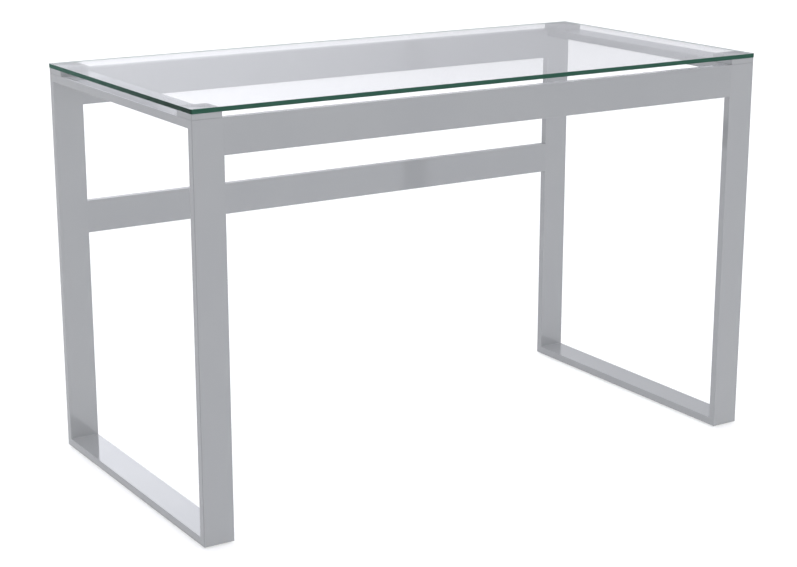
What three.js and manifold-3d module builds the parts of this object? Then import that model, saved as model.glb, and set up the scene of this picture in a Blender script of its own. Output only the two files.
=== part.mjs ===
// Manicure table: a clear glass top that floats on four metal blocks over a frame of flat silver tube.
// Two side loops stand on the floor like sled runners. A front apron, a back apron and a low back stretcher
// join them. Hidden tongues and flush screws hold the rails, so nothing shows from the front.
// Millimetres, +Z up, +X along the table. The sitter is at -Y. The origin is on the floor under the centre.

import * as THREE from "three";
import { mergeVertices } from "three/addons/utils/BufferGeometryUtils.js";
import Module from "manifold-3d";

const wasm = await Module();
wasm.setup();

// Driving dimensions
const GLASS = { length: 1200, depth: 600, thickness: 8, corner: 3, arris: 0.75 };
const GLASS_OVERHANG = 1;
const TUBE = { width: 57, thickness: 15, wall: 1.5, corner: 1, inner_corner: 0.4 };
const LOOP_HEIGHT = 732;
const MITRE_GAP = 0.1;
const RAIL_HEIGHT = 62;
const STRETCHER_RISE = 423;
const BLOCK = { side: 55, height: 9.5, corner: 1, chamfer: 0.5, hole_depth: 7.5 };
const BOND = { side: 51, thickness: 0.5, corner: 4 };
const GLIDE = { radius: 12, height: 3, chamfer: 1.5, stem_radius: 3.9, stem_length: 9, inset: 45 };
const GLIDE_HOLE_RADIUS = 4.1;
const TONGUE = { length: 45, height: 58, thickness: 5 };
const RAIL_SCREW = { radius: 2.5, length: 12, head_radius: 5, head_height: 2.5, key: 3, key_depth: 2 };
const RAIL_SCREW_PLACE = { from_end: 22, spread: 15 };
const BLOCK_SCREW = { radius: 3, length: 22, head_radius: 5.25, head_height: 3.25, key: 4, key_depth: 2 };
const TIP_CHAMFER = 0.4;
const THREAD_CLEARANCE = 0.1;
const BOLT_CLEARANCE = 0.3;
const PAST = 1;

// Smoothness
const CORNER_STEPS = 2;
const ROUND_STEPS = 16;
const GLIDE_STEPS = 24;

// Sizes and places that follow from those
const FRAME = {
  length: GLASS.length - 2 * GLASS_OVERHANG,
  depth: GLASS.depth - 2 * GLASS_OVERHANG,
  top: GLIDE.height + LOOP_HEIGHT,
};
const LOOP_X = (FRAME.length - TUBE.width) / 2;
const RAIL_LENGTH = FRAME.length - 2 * TUBE.width;
const RAIL_Y = (FRAME.depth - TUBE.thickness) / 2;
const BLOCK_X = (FRAME.length - BLOCK.side) / 2;
const BLOCK_Y = (FRAME.depth - BLOCK.side) / 2;
const GLIDE_Y = FRAME.depth / 2 - GLIDE.inset;
const BLOCK_TOP = FRAME.top + BLOCK.height;
const GLASS_BOTTOM = BLOCK_TOP + BOND.thickness;
const INNER_WALL = TUBE.thickness / 2 - TUBE.wall;

const ENDS = [
  ["left", -1],
  ["right", 1],
];
const CORNERS = [
  ["front_left", -1, -1],
  ["front_right", 1, -1],
  ["back_left", -1, 1],
  ["back_right", 1, 1],
];
const RAILS = [
  ["front_apron", -RAIL_Y, FRAME.top - RAIL_HEIGHT / 2],
  ["back_apron", RAIL_Y, FRAME.top - RAIL_HEIGHT / 2],
  ["back_stretcher", RAIL_Y, GLIDE.height + STRETCHER_RISE + RAIL_HEIGHT / 2],
];

const material = (color, roughness, metalness, extra = {}) =>
  new THREE.MeshStandardMaterial({ color, roughness, metalness, ...extra });
const MATERIALS = {
  silver: () => material(0xb4b6b9, 0.12, 1),
  glass: () => material(0xcfe3da, 0.03, 0, { transparent: true, opacity: 0.3 }),
  resin: () => material(0xe6ecea, 0.1, 0, { transparent: true, opacity: 0.4 }),
  steel: () => material(0x8d9093, 0.35, 1),
  nylon: () => material(0x2b2c2e, 0.55, 0),
};

// Outlines
function roundedRectangle(path, width, height, radius) {
  const x = width / 2 - radius;
  const y = height / 2 - radius;
  path.absarc(x, y, radius, 0, Math.PI / 2);
  path.absarc(-x, y, radius, Math.PI / 2, Math.PI);
  path.absarc(-x, -y, radius, Math.PI, 1.5 * Math.PI);
  path.absarc(x, -y, radius, 1.5 * Math.PI, 2 * Math.PI);
  path.closePath();
  return path;
}

function tubeSection(width) {
  const shape = roundedRectangle(new THREE.Shape(), width, TUBE.thickness, TUBE.corner);
  const inner = [width - 2 * TUBE.wall, TUBE.thickness - 2 * TUBE.wall, TUBE.inner_corner];
  shape.holes.push(roundedRectangle(new THREE.Path(), ...inner));
  return shape;
}

// Solids: a geometry becomes a closed solid for a cut, and the result becomes a geometry again.
function solidOf(geometry) {
  const bare = geometry.clone();
  bare.deleteAttribute("normal");
  bare.deleteAttribute("uv");
  const merged = mergeVertices(bare, 1e-4);
  return new wasm.Manifold(
    new wasm.Mesh({
      numProp: 3,
      vertProperties: merged.attributes.position.array,
      triVerts: new Uint32Array(merged.index.array),
    }),
  );
}

function geometryOf(solid) {
  const mesh = solid.getMesh();
  const geometry = new THREE.BufferGeometry();
  geometry.setAttribute("position", new THREE.BufferAttribute(mesh.vertProperties, 3));
  geometry.setIndex(new THREE.BufferAttribute(mesh.triVerts, 1));
  geometry.computeVertexNormals();
  return geometry;
}

function cut(geometry, tools) {
  let solid = solidOf(geometry);
  for (const tool of tools) {
    solid = solid.subtract(solidOf(tool));
  }
  return geometryOf(solid);
}

// A plate lying on Z = 0, with its edges broken all round.
function plate(width, depth, thickness, corner, chamfer) {
  const shape = roundedRectangle(new THREE.Shape(), width, depth, corner);
  const geometry = new THREE.ExtrudeGeometry(shape, {
    depth: thickness - 2 * chamfer,
    bevelEnabled: chamfer > 0,
    bevelThickness: chamfer,
    bevelSize: chamfer,
    bevelOffset: -chamfer,
    bevelSegments: 1,
    curveSegments: CORNER_STEPS,
  });
  geometry.translate(0, 0, chamfer);
  return geometry;
}

// A straight tube along Z, centred, with open ends. Its thickness runs along Y.
function straightTube(width, length) {
  const geometry = new THREE.ExtrudeGeometry(tubeSection(width), {
    depth: length,
    bevelEnabled: false,
    curveSegments: CORNER_STEPS,
  });
  geometry.translate(0, 0, -length / 2);
  return geometry;
}

// The same tube with both ends cut at 45 degrees. Its long side is the outside of the loop, at +Y.
function mitredTube(length) {
  const geometry = straightTube(TUBE.width, length);
  const place = geometry.attributes.position;
  for (let i = 0; i < place.count; i += 1) {
    const shorter = TUBE.thickness / 2 - place.getY(i) + MITRE_GAP;
    place.setZ(i, Math.sign(place.getZ(i)) * (length / 2 - shorter));
  }
  return geometry;
}

// A solid turned about the Y axis from [radius, height] points.
function turned(points, steps) {
  return new THREE.LatheGeometry(
    points.map(([radius, height]) => new THREE.Vector2(radius, height)),
    steps,
  );
}

// A plain drill along Y, from one height to another.
function drill(radius, from, to) {
  return turned([[0, from], [radius, from], [radius, to], [0, to]], ROUND_STEPS);
}

// A hexagonal key socket along Y, whose mouth is at the given height.
function keySocket(screw, mouth) {
  const corner_radius = screw.key / Math.sqrt(3);
  const geometry = new THREE.CylinderGeometry(corner_radius, corner_radius, screw.key_depth + PAST, 6);
  geometry.translate(0, mouth + (PAST - screw.key_depth) / 2, 0);
  return geometry;
}

function shank({ radius, length }) {
  return [[0, -length], [radius - TIP_CHAMFER, -length], [radius, TIP_CHAMFER - length]];
}

// Countersunk screw. Its flat head is flush with Y = 0 and its point is towards -Y.
function flushScrew(screw) {
  const head = [[screw.radius, -screw.head_height], [screw.head_radius, 0], [0, 0]];
  return cut(turned([...shank(screw), ...head], ROUND_STEPS), [keySocket(screw, 0)]);
}

// The hole for it, countersunk at Y = 0.
function flushScrewHole(screw) {
  const radius = screw.radius + THREAD_CLEARANCE;
  const mouth = screw.head_radius + THREAD_CLEARANCE;
  const points = [[0, -screw.length - PAST], [radius, -screw.length - PAST]];
  points.push([radius, -screw.head_height], [mouth, 0], [mouth, PAST], [0, PAST]);
  return turned(points, ROUND_STEPS);
}

// Button-head screw. The head rests on Y = 0 and its point is towards -Y.
function buttonScrew(screw) {
  const { head_radius, head_height } = screw;
  const head = [[screw.radius, 0], [head_radius, 0], [head_radius, head_height * 0.3]];
  head.push([head_radius * 0.8, head_height * 0.8], [head_radius * 0.5, head_height], [0, head_height]);
  return cut(turned([...shank(screw), ...head], ROUND_STEPS), [keySocket(screw, head_height)]);
}

// Push-in floor glide. Its foot is on Y = 0 and its stem points to +Y.
function floorGlide() {
  const { radius, height, chamfer, stem_radius, stem_length } = GLIDE;
  const top = height + stem_length;
  const points = [[0, 0], [radius - chamfer, 0], [radius, chamfer], [radius, height]];
  points.push([stem_radius, height], [stem_radius, top - 1], [stem_radius - 1, top], [0, top]);
  return turned(points, GLIDE_STEPS);
}

function mesh(name, geometry, finish, position, rotation = [0, 0, 0]) {
  const made = new THREE.Mesh(geometry, MATERIALS[finish]());
  made.name = name;
  made.position.set(...position);
  made.rotation.set(...rotation);
  return made;
}

// One side loop: two legs and two flat rails, mitred and welded. Its group stands at the loop's middle.
function sideLoop(name, side) {
  const group = new THREE.Group();
  const x = side * LOOP_X;
  const block_x = side * BLOCK_X - x;
  const leg_y = FRAME.depth / 2 - TUBE.thickness / 2;
  const rail_z = LOOP_HEIGHT / 2 - TUBE.thickness / 2;
  const leg = mitredTube(LOOP_HEIGHT);
  const block_holes = [-BLOCK_Y, BLOCK_Y].map((y) =>
    drill(BLOCK_SCREW.radius + BOLT_CLEARANCE, -TUBE.thickness, TUBE.thickness).translate(block_x, 0, y),
  );
  const glide_holes = [-GLIDE_Y, GLIDE_Y].map((y) =>
    drill(GLIDE_HOLE_RADIUS, 0, TUBE.thickness).translate(0, 0, y),
  );
  const top_rail = cut(mitredTube(FRAME.depth), block_holes);
  const floor_rail = cut(mitredTube(FRAME.depth), glide_holes);
  const quarter = Math.PI / 2;
  group.add(
    mesh(`${name}_back_leg`, leg, "silver", [0, leg_y, 0]),
    mesh(`${name}_front_leg`, leg, "silver", [0, -leg_y, 0], [0, 0, 2 * quarter]),
    mesh(`${name}_top_rail`, top_rail, "silver", [0, 0, rail_z], [quarter, 0, 0]),
    mesh(`${name}_floor_rail`, floor_rail, "silver", [0, 0, -rail_z], [-quarter, 0, 0]),
  );
  group.position.set(x, 0, GLIDE.height + LOOP_HEIGHT / 2);
  return group;
}

// One long rail between the loops, with a welded tongue and two flush screws at each end, all from behind.
function longRail(name, y, z) {
  const group = new THREE.Group();
  const screw_x = RAIL_LENGTH / 2 - RAIL_SCREW_PLACE.from_end;
  const heights = [
    ["lower", -RAIL_SCREW_PLACE.spread],
    ["upper", RAIL_SCREW_PLACE.spread],
  ];
  const holeAt = (along, height) =>
    flushScrewHole(RAIL_SCREW).translate(along, TUBE.thickness / 2, height);

  // The rail's own far wall keeps whole: each hole ends inside the tube.
  const tube = straightTube(RAIL_HEIGHT, RAIL_LENGTH).rotateY(Math.PI / 2);
  const rail_holes = ENDS.flatMap(([, side]) => heights.map(([, h]) => holeAt(side * screw_x, h)));
  group.add(mesh(name, cut(tube, rail_holes), "silver", [0, 0, 0]));

  for (const [end, side] of ENDS) {
    const { length, height, thickness } = TONGUE;
    const tongue_x = side * (RAIL_LENGTH / 2 - length / 2);
    const tongue = new THREE.BoxGeometry(length, thickness, height);
    tongue.translate(tongue_x, INNER_WALL - thickness / 2, 0);
    const tongue_holes = heights.map(([, h]) => holeAt(side * screw_x, h));
    group.add(mesh(`${name}_tongue_${end}`, cut(tongue, tongue_holes), "steel", [0, 0, 0]));
    for (const [level, h] of heights) {
      const place = [side * screw_x, TUBE.thickness / 2, h];
      group.add(mesh(`${name}_screw_${end}_${level}`, flushScrew(RAIL_SCREW), "steel", place));
    }
  }
  group.position.set(0, y, z);
  return group;
}

// One corner: the square block on the top rail, its screw from below, and the clear bond under the glass.
function cornerSupport(corner, x, y) {
  const group = new THREE.Group();
  const block = plate(BLOCK.side, BLOCK.side, BLOCK.height, BLOCK.corner, BLOCK.chamfer);
  const thread = drill(BLOCK_SCREW.radius + THREAD_CLEARANCE, -BLOCK.hole_depth, PAST);
  thread.rotateX(-Math.PI / 2);
  const bond = plate(BOND.side, BOND.side, BOND.thickness, BOND.corner, 0);
  const head_down = [-Math.PI / 2, 0, 0];
  const rail_bottom = -TUBE.thickness;
  group.add(
    mesh(`spacer_block_${corner}`, cut(block, [thread]), "silver", [0, 0, 0]),
    mesh(`bond_pad_${corner}`, bond, "resin", [0, 0, BLOCK.height]),
    mesh(`block_screw_${corner}`, buttonScrew(BLOCK_SCREW), "steel", [0, 0, rail_bottom], head_down),
  );
  group.position.set(x, y, FRAME.top);
  return group;
}

const table = new THREE.Group();
table.name = "manicure_table";
const sheet = plate(GLASS.length, GLASS.depth, GLASS.thickness, GLASS.corner, GLASS.arris);
table.add(mesh("glass_top", sheet, "glass", [0, 0, GLASS_BOTTOM]));
for (const [name, side] of ENDS) {
  table.add(sideLoop(name, side));
}
for (const [name, y, z] of RAILS) {
  table.add(longRail(name, y, z));
}
for (const [corner, x_sign, y_sign] of CORNERS) {
  table.add(cornerSupport(corner, x_sign * BLOCK_X, y_sign * BLOCK_Y));
  const place = [x_sign * LOOP_X, y_sign * GLIDE_Y, 0];
  table.add(mesh(`floor_glide_${corner}`, floorGlide(), "nylon", place, [Math.PI / 2, 0, 0]));
}

export default table;
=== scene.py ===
"""Manicure table: the looks of a glass-topped table on a frame of flat silver tube.

Metres, +Z up, +X along the table, the sitter at -Y, the origin on the floor under the middle of the top.
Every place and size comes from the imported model: a piece is made from the box of the node that it stands for.
"""

from math import cos, pi, radians, sin, tau

import bmesh
import bpy
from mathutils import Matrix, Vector


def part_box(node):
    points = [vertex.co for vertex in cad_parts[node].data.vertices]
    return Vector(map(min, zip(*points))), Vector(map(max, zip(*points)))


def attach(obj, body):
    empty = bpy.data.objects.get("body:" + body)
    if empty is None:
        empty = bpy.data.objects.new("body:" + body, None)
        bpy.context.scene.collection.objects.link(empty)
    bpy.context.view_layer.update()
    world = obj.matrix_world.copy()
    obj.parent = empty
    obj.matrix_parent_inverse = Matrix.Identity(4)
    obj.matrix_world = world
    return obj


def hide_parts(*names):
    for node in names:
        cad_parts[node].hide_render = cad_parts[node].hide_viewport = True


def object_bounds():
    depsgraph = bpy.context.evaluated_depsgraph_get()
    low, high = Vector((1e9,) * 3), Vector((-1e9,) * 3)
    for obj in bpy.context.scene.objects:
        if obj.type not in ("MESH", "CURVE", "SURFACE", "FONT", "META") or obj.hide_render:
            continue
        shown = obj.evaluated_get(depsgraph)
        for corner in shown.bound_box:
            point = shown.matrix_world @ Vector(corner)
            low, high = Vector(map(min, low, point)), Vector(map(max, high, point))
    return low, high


MM = 0.001

# Edges of the frame, the blocks, the glass and the pads, and the air above and below a pad
OUTER_EDGE = 1.0 * MM
INNER_EDGE = 0.3 * MM
RAIL_EDGE = 0.8 * MM
LOOP_OUTER_CORNER = 1.0 * MM
LOOP_INNER_FILLET = 1.2 * MM
BLOCK_EDGE = 0.5 * MM
BLOCK_CORNER = 1.0 * MM
GLASS_CORNER = 3.0 * MM
GLASS_ARRIS = 0.4 * MM
PAD_CORNER = 4.0 * MM
PAD_EDGE = 0.2 * MM
PAD_AIR = 0.02 * MM
# The least that an inset leaves of a corner's radius
LEAST_CORNER = 0.1 * MM

# How far a face's normal may be from an axis, as a cosine, and still count as flat along it
FLAT = 0.1

# Smoothness, in segments, and the angles of the points round a turned shape
EDGE_STEPS = 4
PAD_EDGE_STEPS = 2
CORNER_STEPS = 6
ROUND_STEPS = 48
TURNS = [tau * i / ROUND_STEPS for i in range(ROUND_STEPS)]
# How much a face's size counts in its corners' normals: the most that Blender allows
FACE_WEIGHT = 100

# Screws: hexagon sockets as width across the flats and depth. The button head's dome is a profile of
# (radius, height) as shares of the head's own, from the socket's rim to the underside. Shanks are shares
# of the head's radius, and the flush head's inner rim is a share of its socket's width.
BUTTON_SOCKET = (4.0 * MM, 2.0 * MM)
BUTTON_DOME = ((0.5, 0), (0.72, 0.1), (0.88, 0.32), (0.97, 0.62), (1, 0.9), (1, 1))
BUTTON_SHANK = 0.57
FLUSH_SOCKET = (3.0 * MM, 2.0 * MM)
FLUSH_RIM = 0.62
FLUSH_SHANK = 0.5
SCREW_EDGE = 0.25 * MM
COUNTERSINK_CLEARANCE = 0.12 * MM
# How far the countersink's cutter stands out of the rail
CUTTER_OVERLAP = 1.0 * MM

# Floor glide: its foot as (radius, height) in shares of the foot's, from the moulded hollow outwards, its
# stem as a share of the foot's radius, and the stem's end as (share of the stem's radius, way below the tip)
GLIDE_FOOT = ((0.28, 0.16), (0.32, 0), (0.8, 0), (0.9, 0.06), (0.97, 0.25), (1, 0.5), (1, 0.94), (0.98, 1))
GLIDE_STEM = 0.32
GLIDE_TIP = ((1, 1.4 * MM), (0.8, 0.3 * MM), (0.66, 0))

# Silver tones, each from its darkest to its lightest
GREY = ((0.298, 0.304, 0.313), (0.307, 0.313, 0.32))
# Painted shade: the next tone darkens the outer front edges of the frame and blocks, and the blocks' lower
# edges.
EDGE_SHADE_GREY = ((0.234, 0.241, 0.247), (0.246, 0.253, 0.259))
# Painted highlight and painted shade: the next two tones light the near half of each block's upper face and
# darken its far half.
HIGHLIGHT_GREY = ((0.41, 0.417, 0.43), (0.425, 0.432, 0.445))
SHADE_GREY = ((0.07, 0.072, 0.078), (0.085, 0.087, 0.093))

# Silver finishes: tones, shares of metal and of clear coat, and roughness from its least to its most.
# The broad faces of the long rails have no clear coat, or they would mirror the floor and vanish.
TUBE_FINISH = (GREY, 0.24, 0.2, (0.06, 0.11))
RAIL_FINISH = (GREY, 0.24, 0.0, (0.06, 0.11))
BLOCK_FINISH = (GREY, 0.24, 0.2, (0.08, 0.13))
# Painted shade: the next finish, darker and duller, for those darkened edges.
EDGE_SHADE_FINISH = (EDGE_SHADE_GREY, 0.2, 0.2, (0.12, 0.2))
# Painted highlight and painted shade: the next two finishes, for the near and far halves of each block's upper
# face.
HIGHLIGHT_FINISH = (HIGHLIGHT_GREY, 0.24, 0.2, (0.08, 0.13))
SHADE_FINISH = (SHADE_GREY, 0.0, 0.0, (0.5, 0.6))

# Greens of the glass edge and its arrises, each from its darkest to its lightest: along the long sides,
# at the front of the short ends, and at the back of them
# The darker greens at the front of the short ends are painted shade.
EDGE_GREENS = (
    ((0.02, 0.064, 0.044), (0.03, 0.08, 0.058)),
    ((0.004, 0.014, 0.01), (0.016, 0.042, 0.03)),
    ((0.006, 0.06, 0.04), (0.034, 0.095, 0.07)),
)
# The arrises' greens are their own green lightened by a painted highlight along each arris, with the same
# painted shade at the front of the short ends.
ARRIS_HIGHLIGHT_GREENS = (
    ((0.04, 0.1, 0.075), (0.07, 0.15, 0.12)),
    ((0.02, 0.05, 0.038), (0.05, 0.1, 0.08)),
    ((0.05, 0.13, 0.1), (0.08, 0.17, 0.14)),
)
EDGE_FROM_INSIDE = (0.3, 0.36, 0.34)
EDGE_ROUGHNESS = 0.06
ARRIS_ROUGHNESS = 0.12
EDGE_SHINE = 0.03

# Tints of the glass, of the shine on it and of the resin
GLASS_TINT = (0.985, 0.987, 1.0)
GLASS_SHINE = (0.96, 0.97, 1.0)
RESIN_TINT = (0.97, 0.975, 0.97)

# Tones of the other materials, each from its darkest to its lightest
STEEL = ((0.12, 0.12, 0.125), (0.2, 0.2, 0.205))
ZINC = ((0.42, 0.43, 0.45), (0.55, 0.555, 0.56))
NYLON = ((0.018, 0.018, 0.02), (0.05, 0.05, 0.052))
PAPER = ((0.86, 0.86, 0.86), (0.875, 0.875, 0.875))

# How strongly the clear materials bend and mirror light
GLASS_IOR = 1.25
EDGE_IOR = 1.5
RESIN_IOR = 1.03

# Camera
CAMERA_PLACE = (-1.8316, -2.8674, 1.2373)
CAMERA_TURN = radians(32.26)
CAMERA_TILT = radians(15.22)
CAMERA_LENS = 81.49

# Light. The room is a trace blue. Its walls turn into the lighter ceiling between two heights, which are
# given as sines of the elevation, like the foot of the glow.
WALL_COLOUR = (0.786, 0.795, 0.84)
WALL_LEVEL = 0.75
CEILING_LEVEL = 1.2
WALL_FOOT = 0.15
WALL_TOP = 0.3
# The far wall is lighter, from one angle off +Y to the other
FAR_LEVEL = 0.32
FAR_START = radians(38)
FAR_END = radians(21)
# A glow high on the far wall: the turn and rise of its middle, its reach round that, level and foot
GLOW_TURN = radians(10)
GLOW_RISE = radians(24)
GLOW_REACH = radians(30)
GLOW_LEVEL = 2.2
GLOW_FOOT = 0.16
# What the room gives to matt surfaces, as a share of what it gives to mirrors
DIFFUSE_SHARE = 0.7
# Fill lamps: azimuth and elevation in degrees, and strength
FILL = {
    "front": (0, 12, 1.35),
    "left": (-90, 12, 0.6),
    "back": (180, 12, 1.3),
    "right": (90, 12, 1.1),
    "top": (0, 90, 1.0),
}
FILL_SPREAD = radians(30)
FLOOR_HALF = 14.0

# The parts' names, and which way along X each side lies
OUTWARD = {"left": -1, "right": 1}
SIDES = tuple(OUTWARD)
CORNERS = ("front_left", "front_right", "back_left", "back_right")
RAILS = ("front_apron", "back_apron", "back_stretcher")
LOOP_PARTS = ("front_leg", "back_leg", "top_rail", "floor_rail")


# ---------------------------------------------------------------- outlines


def arc(centre, radius, start, steps):
    """A quarter circle of points from the angle start, counter-clockwise."""
    x, y = centre
    turn = [start + pi / 2 * i / steps for i in range(steps + 1)]
    return [(x + radius * cos(a), y + radius * sin(a)) for a in turn]


def rounded_rectangle(width, depth, radii, steps):
    """A rectangle round the origin with round corners, counter-clockwise from +X +Y.
    radii is one radius or four."""
    radii = radii if isinstance(radii, tuple) else (radii,) * 4
    outline = []
    for i, ((x, y), radius) in enumerate(zip(((1, 1), (-1, 1), (-1, -1), (1, -1)), radii)):
        centre = (x * (width / 2 - radius), y * (depth / 2 - radius))
        outline += arc(centre, radius, i * pi / 2, steps)
    return outline


def rounded_edge(radius, steps):
    """(inset, drop) pairs from a flat face over a round edge to the side face."""
    turn = [pi / 2 * i / steps for i in range(steps + 1)]
    return [(radius * (1 - sin(a)), radius * (1 - cos(a))) for a in turn]


# ---------------------------------------------------------------- meshes


def add_ring(mesh, points):
    """New vertices at the points."""
    return [mesh.verts.new(p) for p in points]


def join_rings(mesh, first, second, material=0):
    """Quads between two rings of the same number of points."""
    count = len(first)
    for i in range(count):
        j = (i + 1) % count
        mesh.faces.new((first[i], first[j], second[j], second[i])).material_index = material


def stack(mesh, rings, bands=None):
    """A solid of rings, one above another, closed by a flat face at each end. bands may give the
    number of the material of each band between two rings."""
    made = [add_ring(mesh, ring) for ring in rings]
    for i, (first, second) in enumerate(zip(made, made[1:])):
        join_rings(mesh, first, second, bands[i] if bands else 0)
    mesh.faces.new(list(reversed(made[0])))
    mesh.faces.new(made[-1])


def add_object(name, mesh, materials):
    """A new object in the scene, made from a bmesh, which is used up."""
    bmesh.ops.recalc_face_normals(mesh, faces=mesh.faces)
    data = bpy.data.meshes.new(name)
    mesh.to_mesh(data)
    mesh.free()
    for material in materials:
        data.materials.append(material)
    made = bpy.data.objects.new(name, data)
    bpy.context.scene.collection.objects.link(made)
    return made


def piece(name, mesh, materials, slot, *nodes):
    """A smooth shaded object that rides on the body and stands for the CAD nodes."""
    made = add_object(name, mesh, materials)
    for face in made.data.polygons:
        face.use_smooth = True
    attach(made, "root")
    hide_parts(*nodes)
    return made


def crisp(made):
    """Keeps broad faces flat, so that only their small round edges are shaded round."""
    normals = made.modifiers.new("weighted_normals", "WEIGHTED_NORMAL")
    normals.mode = "FACE_AREA"
    normals.weight = FACE_WEIGHT
    normals.keep_sharp = True
    return made


def slab_rings(low, high, corner, edge_profile):
    """Rings of a flat slab from its lower face to its upper face, with the same edge on both."""
    centre = (low + high) / 2
    size = high - low

    def ring(inset, z):
        radius = max(corner - inset, LEAST_CORNER)
        outline = rounded_rectangle(size.x - 2 * inset, size.y - 2 * inset, radius, CORNER_STEPS)
        return [(centre.x + x, centre.y + y, z) for x, y in outline]

    below = [ring(inset, low.z + drop) for inset, drop in edge_profile]
    above = [ring(inset, high.z - drop) for inset, drop in reversed(edge_profile)]
    return below + above


def ring_about(axis_point, direction, distance, reaches):
    """A ring of points about an axis, a distance along it. reaches is how far each is from the axis."""
    along = Vector(direction).normalized()
    aside = along.orthogonal().normalized()
    across = along.cross(aside)
    centre = axis_point + along * distance
    return [centre + (aside * cos(a) + across * sin(a)) * r for a, r in zip(TURNS, reaches)]


def turned_rings(profile, axis_point, direction):
    """Rings of a solid turned about an axis: (radius, distance along direction) pairs."""
    return [ring_about(axis_point, direction, d, [r] * ROUND_STEPS) for r, d in profile]


def hexagon_ring(flats, distance, axis_point, direction):
    """A ring with as many points as a turned ring, spread along a hexagon."""
    reaches = [flats / 2 / cos(a % (pi / 3) - pi / 6) for a in TURNS]
    return ring_about(axis_point, direction, distance, reaches)


# ---------------------------------------------------------------- material helpers


def shader_tree(name):
    """A new material with its node tree and its Principled node."""
    material = bpy.data.materials.new(name)
    material.use_nodes = True
    tree = material.node_tree
    return material, tree, tree.nodes["Principled BSDF"]


def noise(tree, scale, detail=2.0, stretch=(1, 1, 1), offset=(0, 0, 0)):
    """A noise pattern fixed to the object, from 0 to 1. scale is its repeats to the metre."""
    place = tree.nodes.new("ShaderNodeTexCoord")
    mapping = tree.nodes.new("ShaderNodeMapping")
    mapping.inputs["Scale"].default_value = stretch
    mapping.inputs["Location"].default_value = offset
    texture = tree.nodes.new("ShaderNodeTexNoise")
    texture.inputs["Scale"].default_value = scale
    texture.inputs["Detail"].default_value = detail
    tree.links.new(place.outputs["Object"], mapping.inputs["Vector"])
    tree.links.new(mapping.outputs["Vector"], texture.inputs["Vector"])
    return texture.outputs["Fac"]


def spread(tree, factor, low, high, start=0.3, end=0.7):
    """Maps a pattern's middle stretch, from start to end, to the numbers low to high."""
    node = tree.nodes.new("ShaderNodeMapRange")
    node.inputs["From Min"].default_value = start
    node.inputs["From Max"].default_value = end
    node.inputs["To Min"].default_value = low
    node.inputs["To Max"].default_value = high
    node.interpolation_type = "SMOOTHSTEP"
    tree.links.new(factor, node.inputs["Value"])
    return node.outputs["Result"]


def blend_colours(tree, factor, first, second):
    """Mixes two colours, each a tuple or another node's output."""
    node = tree.nodes.new("ShaderNodeMix")
    node.data_type = "RGBA"
    tree.links.new(factor, node.inputs["Factor"])
    inputs = [socket for socket in node.inputs if socket.type == "RGBA"]
    for socket, colour in zip(inputs, (first, second)):
        if isinstance(colour, tuple):
            socket.default_value = (*colour, 1)
        else:
            tree.links.new(colour, socket)
    return next(socket for socket in node.outputs if socket.type == "RGBA")


def arithmetic(tree, operation, first, second):
    """One sum or product of two nodes' outputs."""
    node = tree.nodes.new("ShaderNodeMath")
    node.operation = operation
    tree.links.new(first, node.inputs[0])
    tree.links.new(second, node.inputs[1])
    return node.outputs["Value"]


def bump(tree, principled, height, distance, under=None):
    """Fine relief on a Principled node, on top of another bump where under is given."""
    node = tree.nodes.new("ShaderNodeBump")
    node.inputs["Strength"].default_value = 1
    node.inputs["Distance"].default_value = distance
    tree.links.new(height, node.inputs["Height"])
    if under is not None:
        tree.links.new(under, node.inputs["Normal"])
    tree.links.new(node.outputs["Normal"], principled.inputs["Normal"])
    return node.outputs["Normal"]


# ---------------------------------------------------------------- materials


def silver_plate(name, tones, metal, clear, satin):
    """Bright satin nickel over ground steel: soft mirror over an even grey, a faint orange peel.
    metal and clear are the mirror's shares and satin its least and most roughness."""
    material, tree, principled = shader_tree(name)
    tone = spread(tree, noise(tree, 5, 3), 0.0, 1.0)
    colour = blend_colours(tree, tone, *tones)
    tree.links.new(colour, principled.inputs["Base Color"])
    principled.inputs["Metallic"].default_value = metal
    principled.inputs["Specular IOR Level"].default_value = clear
    smears = spread(tree, noise(tree, 9, 5, offset=(3, 1, 7)), *satin)
    tree.links.new(smears, principled.inputs["Roughness"])
    waves = bump(tree, principled, noise(tree, 14, 1), 0.005 * MM)
    bump(tree, principled, noise(tree, 420, 2), 0.002 * MM, under=waves)
    return material


def see_through(tree, principled, tint, ior):
    """Clear glass or resin on a Principled node, with plain tinted see-through for lamps."""
    principled.inputs["Base Color"].default_value = (*tint, 1)
    principled.inputs["Transmission Weight"].default_value = 1
    principled.inputs["Roughness"].default_value = 0
    principled.inputs["IOR"].default_value = ior
    path = tree.nodes.new("ShaderNodeLightPath")
    open_way = tree.nodes.new("ShaderNodeBsdfTransparent")
    open_way.inputs["Color"].default_value = (*tint, 1)
    mix = tree.nodes.new("ShaderNodeMixShader")
    tree.links.new(path.outputs["Is Shadow Ray"], mix.inputs["Fac"])
    tree.links.new(principled.outputs["BSDF"], mix.inputs[1])
    tree.links.new(open_way.outputs["BSDF"], mix.inputs[2])
    return mix.outputs["Shader"]


def glass_face(name):
    """The glass sheet's broad faces: clear float glass with the faintest smudges."""
    material, tree, principled = shader_tree(name)
    shown = see_through(tree, principled, GLASS_TINT, GLASS_IOR)
    principled.inputs["Specular Tint"].default_value = (*GLASS_SHINE, 1)
    smudges = spread(tree, noise(tree, 6, 6), 0.0, 0.02, 0.45, 0.8)
    tree.links.new(smudges, principled.inputs["Roughness"])
    bump(tree, principled, noise(tree, 3, 1), 0.01 * MM)
    tree.links.new(shown, tree.nodes["Material Output"].inputs["Surface"])
    return material


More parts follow.
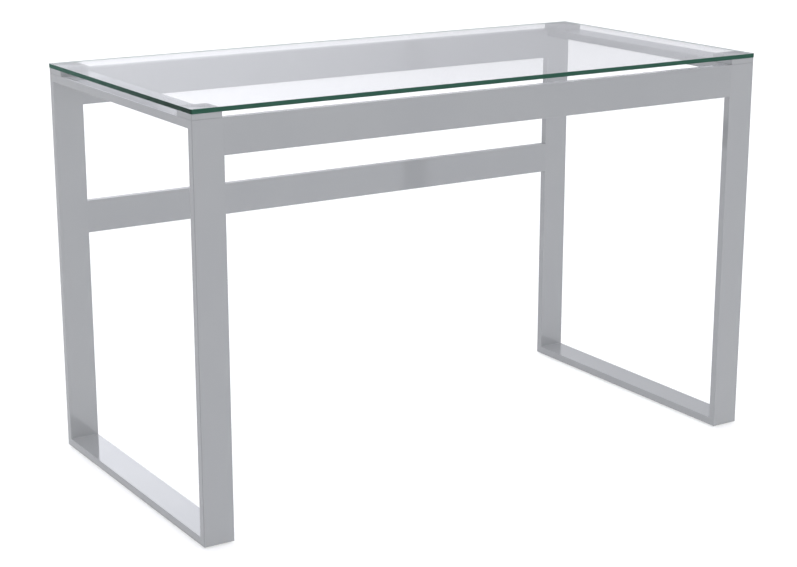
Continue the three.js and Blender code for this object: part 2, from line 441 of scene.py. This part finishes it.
def glass_edge(name, greens, roughness):
    """A ground and polished glass edge. From outside it is deep green, because the eye looks along the
    sheet through a lot of glass. The sheet's short ends, with its whole length behind them, carry painted
    shade, darker towards the front. From inside, through the clear faces, the same edge is a pale grey green."""
    material, tree, principled = shader_tree(name)
    geometry = tree.nodes.new("ShaderNodeNewGeometry")
    facing = tree.nodes.new("ShaderNodeSeparateXYZ")
    tree.links.new(geometry.outputs["Normal"], facing.inputs["Vector"])
    end = tree.nodes.new("ShaderNodeMath")
    end.operation = "ABSOLUTE"
    tree.links.new(facing.outputs["X"], end.inputs[0])
    place = tree.nodes.new("ShaderNodeTexCoord")
    along = tree.nodes.new("ShaderNodeSeparateXYZ")
    tree.links.new(place.outputs["Object"], along.inputs["Vector"])
    back = spread(tree, along.outputs["Y"], 0.0, 1.0, BOX[0].y, BOX[1].y)
    streaks = spread(tree, noise(tree, 30, 3, stretch=(1, 1, 16)), 0.0, 1.0, 0.25, 0.75)
    long_edge, end_front, end_back = (blend_colours(tree, streaks, *pair) for pair in greens)
    # Painted shade: the short ends darken from back to front.
    short_edge = blend_colours(tree, back, end_front, end_back)
    outside = blend_colours(tree, end.outputs["Value"], long_edge, short_edge)
    colour = blend_colours(tree, geometry.outputs["Backfacing"], outside, EDGE_FROM_INSIDE)
    tree.links.new(colour, principled.inputs["Base Color"])
    principled.inputs["IOR"].default_value = EDGE_IOR
    principled.inputs["Specular IOR Level"].default_value = EDGE_SHINE
    grind = spread(tree, noise(tree, 60, 4, stretch=(1, 1, 8)), roughness, roughness * 2)
    tree.links.new(grind, principled.inputs["Roughness"])
    bump(tree, principled, noise(tree, 260, 2, stretch=(1, 1, 4)), 0.004 * MM)
    return material


def clear_resin(name):
    """Cured clear bonding resin, with a few small voids. It touches the glass, so that it hardly shines."""
    material, tree, principled = shader_tree(name)
    shown = see_through(tree, principled, RESIN_TINT, RESIN_IOR)
    voids = spread(tree, noise(tree, 350, 2), 0.02, 0.2, 0.6, 0.75)
    tree.links.new(voids, principled.inputs["Roughness"])
    bump(tree, principled, noise(tree, 120, 2), 0.02 * MM)
    tree.links.new(shown, tree.nodes["Material Output"].inputs["Surface"])
    return material


def mill_steel(name):
    """Mill finish steel plate: grey rolling scale with long fine scratches."""
    material, tree, principled = shader_tree(name)
    scale = spread(tree, noise(tree, 40, 6), 0.0, 1.0)
    colour = blend_colours(tree, scale, *STEEL)
    tree.links.new(colour, principled.inputs["Base Color"])
    principled.inputs["Metallic"].default_value = 0.9
    tree.links.new(spread(tree, noise(tree, 90, 4), 0.35, 0.6), principled.inputs["Roughness"])
    bump(tree, principled, noise(tree, 600, 3, stretch=(0.1, 1, 1)), 0.02 * MM)
    return material


def zinc_plate(name):
    """Bright zinc plated screw steel, fine grained, a little uneven."""
    material, tree, principled = shader_tree(name)
    tone = spread(tree, noise(tree, 300, 3), 0.0, 1.0)
    colour = blend_colours(tree, tone, *ZINC)
    tree.links.new(colour, principled.inputs["Base Color"])
    principled.inputs["Metallic"].default_value = 0.95
    tree.links.new(spread(tree, noise(tree, 700, 3), 0.2, 0.36), principled.inputs["Roughness"])
    bump(tree, principled, noise(tree, 2500, 2), 0.004 * MM)
    return material


def black_nylon(name):
    """Moulded nylon with a fine spark texture, greyer where the floor has rubbed it."""
    material, tree, principled = shader_tree(name)
    rubbed = spread(tree, noise(tree, 260, 4), 0.0, 1.0, 0.5, 0.75)
    colour = blend_colours(tree, rubbed, *NYLON)
    tree.links.new(colour, principled.inputs["Base Color"])
    tree.links.new(spread(tree, noise(tree, 500, 3), 0.42, 0.62), principled.inputs["Roughness"])
    bump(tree, principled, noise(tree, 1800, 2), 0.03 * MM)
    return material


def floor_white(name):
    """Matt white paper for the studio floor."""
    material, tree, principled = shader_tree(name)
    tone = spread(tree, noise(tree, 2, 3), 0.0, 1.0)
    colour = blend_colours(tree, tone, *PAPER)
    tree.links.new(colour, principled.inputs["Base Color"])
    principled.inputs["Roughness"].default_value = 0.9
    principled.inputs["Specular IOR Level"].default_value = 0
    return material


# ---------------------------------------------------------------- the pieces


def around(nodes):
    """The box round several CAD nodes."""
    boxes = [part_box(node) for node in nodes]
    low = Vector(min(b[0][i] for b in boxes) for i in range(3))
    high = Vector(max(b[1][i] for b in boxes) for i in range(3))
    return low, high


def side_of(corner):
    """The side, left or right, that a corner belongs to."""
    return corner.split("_")[1]


def side_loop(side, silver, dull):
    """Two legs and two flat rails, mitred, welded and ground flush into one closed band. Its edges away
    from the table's middle are rounder, and on the front leg the outermost carries a thin line of painted
    shade."""
    nodes = [f"{side}_{part}" for part in LOOP_PARTS]
    low, high = around(nodes)
    leg_low, leg_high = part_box(f"{side}_front_leg")
    thickness = leg_high.y - leg_low.y
    centre = (low + high) / 2
    size = high - low
    mesh = bmesh.new()
    outward = OUTWARD[side]
    right, left = (OUTER_EDGE, INNER_EDGE) if outward > 0 else (INNER_EDGE, OUTER_EDGE)
    section = rounded_rectangle(size.x, thickness, (right, left, left, right), EDGE_STEPS)
    rings = []
    for x, across in section:
        depth = thickness / 2 - across
        radius = LOOP_OUTER_CORNER + (LOOP_INNER_FILLET - LOOP_OUTER_CORNER) * depth / thickness
        outline = rounded_rectangle(size.y - 2 * depth, size.z - 2 * depth, radius, EDGE_STEPS)
        rings.append(add_ring(mesh, [(centre.x + x, centre.y + y, centre.z + z) for y, z in outline]))
    for i, ring in enumerate(rings):
        join_rings(mesh, ring, rings[(i + 1) % len(rings)])
    bmesh.ops.recalc_face_normals(mesh, faces=mesh.faces)
    # Painted shade: a thin darker line along the front leg's outermost edge.
    for band in mesh.faces:
        outermost = outward * band.normal.x > FLAT and band.normal.y < -FLAT
        if outermost and band.calc_center_median().y < low.y + OUTER_EDGE:
            band.material_index = 1
    return crisp(piece(f"{side}_loop", mesh, [silver, dull], "silver_tube", *nodes))


def long_rail(name, satin, silver):
    """A flat rail between the loops, with four countersunk holes in its back. Its narrow upper face is
    brighter than its broad faces."""
    low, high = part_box(name)
    centre = (low + high) / 2
    size = high - low
    section = rounded_rectangle(size.y, size.z, RAIL_EDGE, EDGE_STEPS)
    mesh = bmesh.new()
    stack(mesh, [[(x, centre.y + y, centre.z + z) for y, z in section] for x in (low.x, high.x)])
    bmesh.ops.recalc_face_normals(mesh, faces=mesh.faces)
    for band in mesh.faces:
        band.material_index = 1 if band.normal.z > FLAT else 0
    made = piece(f"{name}_rail", mesh, [satin, silver], "silver_tube", name)
    for end in SIDES:
        for level in ("lower", "upper"):
            cut_countersink(made, f"{name}_screw_{end}_{level}")
    return crisp(made)


def cut_countersink(rail, screw):
    """Cuts the conical hole for one flush screw into a rail's back."""
    low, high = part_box(screw)
    centre = (low + high) / 2
    radius = (high.x - low.x) / 2 + COUNTERSINK_CLEARANCE
    shank = radius * FLUSH_SHANK
    cone = [(shank, shank - radius), (radius, 0)]
    profile = [(shank, low.y - high.y)] + cone + [(radius, CUTTER_OVERLAP)]
    mesh = bmesh.new()
    stack(mesh, turned_rings(profile, Vector((centre.x, high.y, centre.z)), (0, 1, 0)))
    cutter = add_object("cutter", mesh, [])
    cut = rail.modifiers.new("cut", "BOOLEAN")
    cut.operation = "DIFFERENCE"
    cut.solver = "EXACT"
    cut.object = cutter
    evaluated = rail.evaluated_get(bpy.context.evaluated_depsgraph_get())
    made = bpy.data.meshes.new_from_object(evaluated)
    rail.modifiers.remove(cut)
    rail.data = made
    bpy.data.objects.remove(cutter)


def spacer_block(corner, polished, dull, highlight_half, ground):
    """The square metal block that lifts the glass off the frame. Its upper face has a painted highlight in
    front of the diagonal and painted shade behind it. Its lower and outermost edges carry painted shade."""
    node = f"spacer_block_{corner}"
    low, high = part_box(node)
    centre = (low + high) / 2
    mesh = bmesh.new()
    stack(mesh, slab_rings(low, high, BLOCK_CORNER, rounded_edge(BLOCK_EDGE, EDGE_STEPS)))
    mesh.faces.ensure_lookup_table()
    top = mesh.faces[-1]
    # The upper face is cut along its diagonal to carry the painted highlight in front and the painted shade
    # behind.
    diagonal = [v for v in top.verts if abs(v.co.x + v.co.y - centre.x - centre.y) < BLOCK_EDGE / 4]
    bmesh.ops.connect_verts(mesh, verts=diagonal)
    bmesh.ops.recalc_face_normals(mesh, faces=mesh.faces)
    # Polished silver, then painted edge shade, painted highlight and painted shade for the two halves of the
    # upper face.
    materials = [polished, dull, highlight_half, ground]
    outward = OUTWARD[side_of(corner)]
    for part in mesh.faces:
        at = part.calc_center_median() - centre
        upright = abs(part.normal.z) < FLAT
        outermost = outward * part.normal.x > FLAT and part.normal.y < -FLAT
        look = polished
        if part.normal.z > 1 - FLAT:
            # Painted shade on the far half of the upper face, painted highlight on the near half.
            look = ground if at.x + at.y > 0 else highlight_half
        elif (upright and outermost) or -1 + FLAT < part.normal.z < -FLAT:
            # Painted shade on the lower edges and the outermost front edge.
            look = dull
        part.material_index = materials.index(look)
    return crisp(piece(f"{node}_ground", mesh, materials, "silver_block", node))


def bond_pad(corner, resin):
    """The clear resin film between a block and the glass."""
    node = f"bond_pad_{corner}"
    low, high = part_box(node)
    air = Vector((0, 0, PAD_AIR))
    mesh = bmesh.new()
    stack(mesh, slab_rings(low + air, high - air, PAD_CORNER, rounded_edge(PAD_EDGE, PAD_EDGE_STEPS)))
    return crisp(piece(f"{node}_film", mesh, [resin], "clear_bond", node))


def glass_sheet(face, edge, arris):
    """The sheet of glass, with flat polished edges and a small arris above and below."""
    low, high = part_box("glass_top")
    mesh = bmesh.new()
    chamfer = [(GLASS_ARRIS, 0), (0, GLASS_ARRIS)]
    materials = [face, edge, arris]
    bands = [materials.index(look) for look in (arris, edge, arris)]
    stack(mesh, slab_rings(low, high, GLASS_CORNER, chamfer), bands)
    return crisp(piece("glass_sheet", mesh, materials, "glass", "glass_top"))


def socket_head(node, profile, socket, axis_point, direction, zinc):
    """A turned screw whose head has a hexagon socket. profile lists (radius, distance along direction)
    from the socket's mouth outwards, over the head and down the shank."""
    flats, depth = socket
    bottom = hexagon_ring(flats, -depth, axis_point, direction)
    mouth = hexagon_ring(flats, 0, axis_point, direction)
    mesh = bmesh.new()
    stack(mesh, [bottom, mouth] + turned_rings(profile, axis_point, direction))
    return crisp(piece(f"{node}_zinc", mesh, [zinc], "fasteners", node))


def button_screw(corner, zinc):
    """The button head screw that holds a block from below its rail."""
    node = f"block_screw_{corner}"
    low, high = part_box(node)
    centre = (low + high) / 2
    radius = (high.x - low.x) / 2
    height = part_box(f"{side_of(corner)}_top_rail")[0].z - low.z
    shank = radius * BUTTON_SHANK
    length = high.z - low.z
    dome = [(radius * r, -height * h) for r, h in BUTTON_DOME]
    tail = [
        (shank, -height),
        (shank, SCREW_EDGE - length),
        (shank - SCREW_EDGE, -length),
    ]
    mouth = Vector((centre.x, centre.y, low.z))
    return socket_head(node, dome + tail, BUTTON_SOCKET, mouth, (0, 0, -1), zinc)


def flush_screw(node, zinc):
    """A countersunk screw, flush with the back of its rail."""
    low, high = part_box(node)
    centre = (low + high) / 2
    radius = (high.x - low.x) / 2
    shank = radius * FLUSH_SHANK
    length = high.y - low.y
    head = [
        (FLUSH_SOCKET[0] * FLUSH_RIM, 0),
        (radius - SCREW_EDGE, 0),
        (radius, -SCREW_EDGE),
        (shank, shank - radius),
    ]
    tail = [
        (shank, SCREW_EDGE - length),
        (shank - SCREW_EDGE, -length),
    ]
    mouth = Vector((centre.x, high.y, centre.z))
    return socket_head(node, head + tail, FLUSH_SOCKET, mouth, (0, 1, 0), zinc)


def floor_glide(corner, nylon):
    """The push-in nylon glide under a floor rail, with its moulded ring."""
    node = f"floor_glide_{corner}"
    low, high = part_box(node)
    centre = (low + high) / 2
    radius = (high.x - low.x) / 2
    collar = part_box(f"{side_of(corner)}_floor_rail")[0].z - low.z
    tip = high.z - low.z
    stem = radius * GLIDE_STEM
    foot = [(radius * r, collar * h) for r, h in GLIDE_FOOT]
    barb = [(stem, collar)] + [(stem * r, tip - below) for r, below in GLIDE_TIP]
    mesh = bmesh.new()
    stack(mesh, turned_rings(foot + barb, Vector((centre.x, centre.y, low.z)), (0, 0, 1)))
    return crisp(piece(f"{node}_nylon", mesh, [nylon], "black_nylon", node))


# ---------------------------------------------------------------- the studio


def studio_floor():
    """A wide white floor at the table's feet."""
    mesh = bmesh.new()
    half = FLOOR_HALF
    corners = ((-half, -half), (half, -half), (half, half), (-half, half))
    mesh.faces.new(add_ring(mesh, [(x, y, BOX[0].z) for x, y in corners]))
    add_object("studio_floor", mesh, [floor_white("floor_white")])


def room_light(tree):
    """The strength of the room's light from each direction: walls, ceiling, far wall and glow."""
    way = tree.nodes.new("ShaderNodeTexCoord").outputs["Generated"]
    height = tree.nodes.new("ShaderNodeSeparateXYZ")
    tree.links.new(way, height.inputs["Vector"])
    wall = spread(tree, height.outputs["Z"], WALL_LEVEL, CEILING_LEVEL, WALL_FOOT, WALL_TOP)
    far = spread(tree, height.outputs["Y"], 0.0, FAR_LEVEL, cos(FAR_START), cos(FAR_END))
    toward = tree.nodes.new("ShaderNodeVectorMath")
    toward.operation = "DOT_PRODUCT"
    turn, rise = GLOW_TURN, GLOW_RISE
    toward.inputs[1].default_value = (sin(turn) * cos(rise), cos(turn) * cos(rise), sin(rise))
    tree.links.new(way, toward.inputs[0])
    across = spread(tree, toward.outputs["Value"], 0.0, GLOW_LEVEL, cos(GLOW_REACH), 1.0)
    above = spread(tree, height.outputs["Z"], 0.0, 1.0, GLOW_FOOT, WALL_TOP)
    glow = arithmetic(tree, "MULTIPLY", across, above)
    return arithmetic(tree, "ADD", arithmetic(tree, "ADD", wall, far), glow)


def white_room():
    """The world: plain white where the camera sees it, and a softly lit room for all other light."""
    world = bpy.data.worlds.new("white_room")
    world.use_nodes = True
    tree = world.node_tree
    seen = tree.nodes["Background"]
    seen.inputs["Color"].default_value = (1, 1, 1, 1)
    path = tree.nodes.new("ShaderNodeLightPath")
    share = spread(tree, path.outputs["Is Diffuse Ray"], 1.0, DIFFUSE_SHARE, 0.0, 1.0)
    walls = tree.nodes.new("ShaderNodeBackground")
    walls.inputs["Color"].default_value = (*WALL_COLOUR, 1)
    tree.links.new(arithmetic(tree, "MULTIPLY", room_light(tree), share), walls.inputs["Strength"])
    mix = tree.nodes.new("ShaderNodeMixShader")
    tree.links.new(path.outputs["Is Camera Ray"], mix.inputs["Fac"])
    tree.links.new(walls.outputs["Background"], mix.inputs[1])
    tree.links.new(seen.outputs["Background"], mix.inputs[2])
    tree.links.new(mix.outputs["Shader"], tree.nodes["World Output"].inputs["Surface"])
    bpy.context.scene.world = world


def fill_lamp(name, azimuth, elevation, strength):
    """Even light from one side, without shadows, as a white room gives it."""
    lamp = bpy.data.lights.new(name, "SUN")
    lamp.energy = strength
    lamp.angle = FILL_SPREAD
    lamp.use_shadow = False
    made = bpy.data.objects.new(name, lamp)
    made.rotation_euler = (pi / 2 - radians(elevation), 0, radians(azimuth))
    made.visible_glossy = False
    made.visible_transmission = False
    bpy.context.scene.collection.objects.link(made)


def place_camera():
    """The camera, at the left of the sitter and a little above the glass."""
    data = bpy.data.cameras.new("camera")
    data.lens = CAMERA_LENS
    made = bpy.data.objects.new("camera", data)
    made.location = CAMERA_PLACE
    made.rotation_euler = (pi / 2 - CAMERA_TILT, 0, -CAMERA_TURN)
    bpy.context.scene.collection.objects.link(made)
    bpy.context.scene.camera = made


# ---------------------------------------------------------------- making

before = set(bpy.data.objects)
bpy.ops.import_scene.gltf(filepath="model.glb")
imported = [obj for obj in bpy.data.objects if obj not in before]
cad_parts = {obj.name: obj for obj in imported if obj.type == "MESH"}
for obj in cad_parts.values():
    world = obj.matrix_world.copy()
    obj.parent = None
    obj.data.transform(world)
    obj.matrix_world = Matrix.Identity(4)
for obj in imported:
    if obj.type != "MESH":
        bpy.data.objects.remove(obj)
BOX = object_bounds()
place_camera()

tube_silver = silver_plate("silver_tube_plate", *TUBE_FINISH)
rail_silver = silver_plate("silver_rail_plate", *RAIL_FINISH)
block_silver = silver_plate("silver_block_plate", *BLOCK_FINISH)
# Painted shade for the outer front edges and the blocks' lower edges.
dull_silver = silver_plate("silver_dull_edge", *EDGE_SHADE_FINISH)
# Painted highlight and painted shade for the two halves of the blocks' upper faces.
highlight_silver = silver_plate("silver_painted_highlight_face", *HIGHLIGHT_FINISH)
shade_half_silver = silver_plate("silver_painted_shade_face", *SHADE_FINISH)
resin = clear_resin("clear_bond_resin")
steel = mill_steel("mill_steel")
zinc = zinc_plate("zinc_plate")
nylon = black_nylon("black_nylon_moulded")
face = glass_face("glass_face")
edge = glass_edge("glass_edge", EDGE_GREENS, EDGE_ROUGHNESS)
# The arrises' lighter greens carry a painted highlight.
arris = glass_edge("glass_arris", ARRIS_HIGHLIGHT_GREENS, ARRIS_ROUGHNESS)

for side in SIDES:
    side_loop(side, tube_silver, dull_silver)
for rail in RAILS:
    long_rail(rail, rail_silver, tube_silver)
    for end in SIDES:
        for level in ("lower", "upper"):
            flush_screw(f"{rail}_screw_{end}_{level}", zinc)
for corner in CORNERS:
    spacer_block(corner, block_silver, dull_silver, highlight_silver, shade_half_silver)
    bond_pad(corner, resin)
    button_screw(corner, zinc)
    floor_glide(corner, nylon)
glass_sheet(face, edge, arris)

# The tongues, hidden inside the rails, keep their CAD meshes
for name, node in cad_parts.items():
    if "_tongue_" in name:
        node.data.materials.clear()
        node.data.materials.append(steel)

studio_floor()
white_room()
for name, (azimuth, elevation, strength) in FILL.items():
    fill_lamp(f"fill_{name}", azimuth, elevation, strength)
bpy.context.scene.view_settings.view_transform = "Standard"
